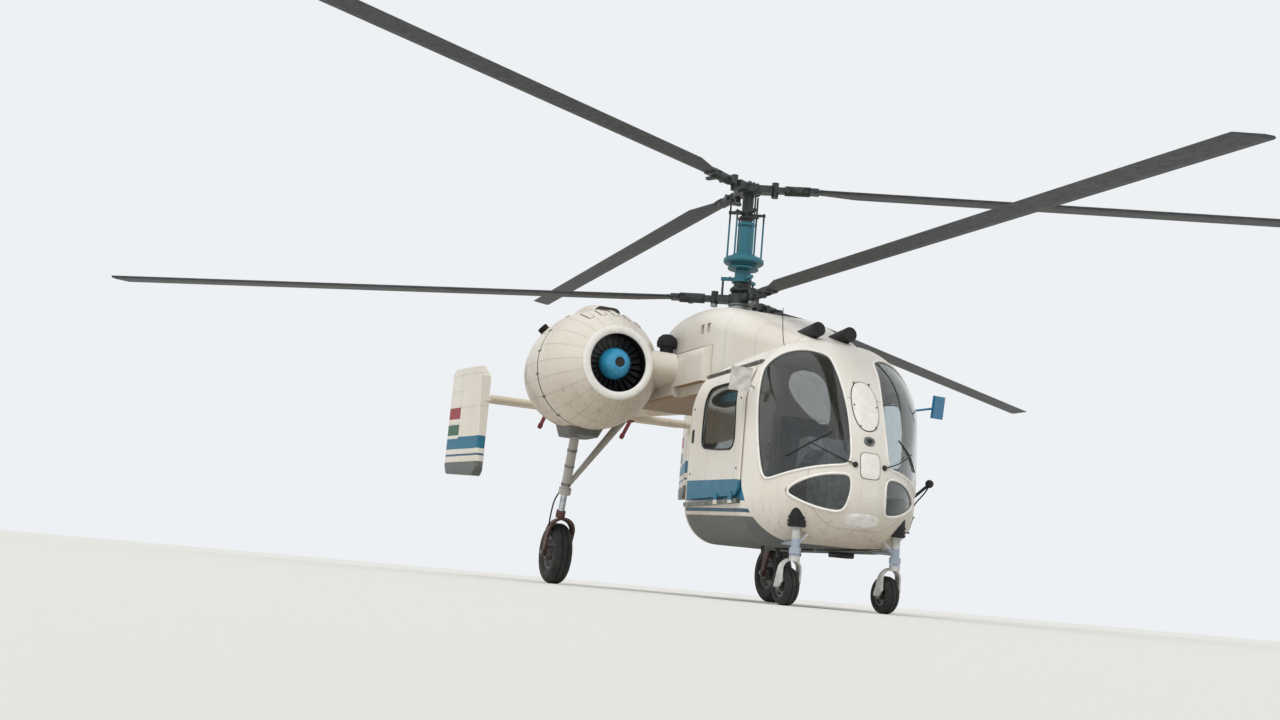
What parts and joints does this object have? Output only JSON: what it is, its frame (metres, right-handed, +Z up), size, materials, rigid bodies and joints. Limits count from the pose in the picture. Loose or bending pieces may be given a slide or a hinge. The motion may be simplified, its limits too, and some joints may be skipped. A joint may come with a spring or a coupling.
{
  "type": "coaxial twin-engine light helicopter",
  "caption": "Light helicopter with two coaxial rotors, pod engines on stub wings, twin tail booms and a cabin ahead of an open payload bay.",
  "frame": {"origin": "on the rotor axis at ground level", "axes": "+X port, +Y toward the tail, +Z up"},
  "size_m": [11.3268, 13, 4.0519],
  "materials": {
    "white_paint": "semi-gloss",
    "dark_paint": "satin",
    "blue_paint": "gloss",
    "hub_paint": "satin",
    "mast_paint": "satin",
    "blade_skin": "satin",
    "red_paint": "satin",
    "fork_paint": "satin",
    "steel": "satin",
    "chrome": "polished",
    "window": "tinted",
    "tyre_rubber": "matt",
    "rubber": "matt",
    "seat_fabric": "woven",
    "console_plastic": "matt",
    "lamp_red": "gloss"
  },
  "bodies": {
    "airframe": {"cabin_nose": "white_paint", "cabin_belly": "dark_paint", "cabin_roof": "white_paint", "cabin_posts": "white_paint", "cabin_bulkhead": "white_paint", "cabin_floor": "console_plastic", "windscreens": "window", "door_rails": "steel", "seat_frames": "dark_paint", "seat_cushions": "seat_fabric", "instrument_console": "console_plastic", "flight_controls": "hub_paint", "centre_section": "white_paint", "gearbox_fairing": "white_paint", "roof_intakes": "rubber", "mast_collar": "hub_paint", "nacelle_left": "white_paint", "nacelle_right": "white_paint", "engines": "steel", "stub_wings": "white_paint", "cowl_scoops": "white_paint", "cowl_beards": "dark_paint", "exhaust_pipes": "steel", "tail_booms": "white_paint", "boom_caps": "dark_paint", "tail_bumpers": "red_paint", "tailplane": "white_paint", "elevator": "white_paint", "fins": "white_paint", "rudders": "white_paint", "beacon": "lamp_red", "main_legs": "white_paint", "main_braces": "white_paint", "main_pistons": "chrome", "main_forks": "fork_paint", "nose_legs": "white_paint", "nose_boots": "rubber", "mirrors": "steel", "air_probe": "rubber"},
    "door_left": {"door_left": "white_paint", "door_glass_left": "window"},
    "door_right": {"door_right": "white_paint", "door_glass_right": "window"},
    "rotor_lower": {"lower_hub": "hub_paint", "lower_blades": "blade_skin"},
    "rotor_upper": {"upper_hub": "hub_paint", "upper_blades": "blade_skin"},
    "fan_left": {"fan_left": "blue_paint"},
    "fan_right": {"fan_right": "blue_paint"},
    "main_wheel_left": {"main_wheel_left": "white_paint", "main_tyre_left": "tyre_rubber"},
    "main_wheel_right": {"main_wheel_right": "white_paint", "main_tyre_right": "tyre_rubber"},
    "nose_castor_left": {"nose_fork_left": "white_paint"},
    "nose_castor_right": {"nose_fork_right": "white_paint"},
    "nose_wheel_left": {"nose_wheel_left": "steel", "nose_tyre_left": "tyre_rubber"},
    "nose_wheel_right": {"nose_wheel_right": "steel", "nose_tyre_right": "tyre_rubber"}
  },
  "joints": [
    {"name": "door_left_slide", "type": "slide", "parent": "airframe", "child": "door_left", "axis": [-0.0559, 0.9984, 0], "range_m": [0, 0.7]},
    {"name": "door_right_slide", "type": "slide", "parent": "airframe", "child": "door_right", "axis": [0.0559, 0.9984, 0], "range_m": [0, 0.7]},
    {"name": "lower_rotor_turn", "type": "hinge", "parent": "airframe", "child": "rotor_lower", "pos_m": [0, 0, 2.85], "axis": [0, 0, 1], "continuous": true},
    {"name": "upper_rotor_turn", "type": "hinge", "parent": "airframe", "child": "rotor_upper", "pos_m": [0, 0, 3.96], "axis": [0, 0, 1], "continuous": true},
    {"name": "fan_left_turn", "type": "hinge", "parent": "airframe", "child": "fan_left", "pos_m": [1.25, 0, 2.05], "axis": [0, 1, 0], "continuous": true},
    {"name": "fan_right_turn", "type": "hinge", "parent": "airframe", "child": "fan_right", "pos_m": [-1.25, 0, 2.05], "axis": [0, 1, 0], "continuous": true},
    {"name": "main_wheel_left_roll", "type": "hinge", "parent": "airframe", "child": "main_wheel_left", "pos_m": [1.21, 1.28, 0.2975], "axis": [1, 0, 0], "continuous": true},
    {"name": "main_wheel_right_roll", "type": "hinge", "parent": "airframe", "child": "main_wheel_right", "pos_m": [-1.21, 1.28, 0.2975], "axis": [1, 0, 0], "continuous": true},
    {"name": "nose_castor_left_swivel", "type": "hinge", "parent": "airframe", "child": "nose_castor_left", "pos_m": [0.45, -2.31, 0.38], "axis": [0, 0, 1], "continuous": true},
    {"name": "nose_castor_right_swivel", "type": "hinge", "parent": "airframe", "child": "nose_castor_right", "pos_m": [-0.45, -2.31, 0.38], "axis": [0, 0, 1], "continuous": true},
    {"name": "nose_wheel_left_roll", "type": "hinge", "parent": "nose_castor_left", "child": "nose_wheel_left", "pos_m": [0.45, -2.19, 0.15], "axis": [1, 0, 0], "continuous": true},
    {"name": "nose_wheel_right_roll", "type": "hinge", "parent": "nose_castor_right", "child": "nose_wheel_right", "pos_m": [-0.45, -2.19, 0.15], "axis": [1, 0, 0], "continuous": true}
  ],
  "couplings": [
    {"joint": "upper_rotor_turn", "follows": "lower_rotor_turn", "ratio": -1}
  ]
}
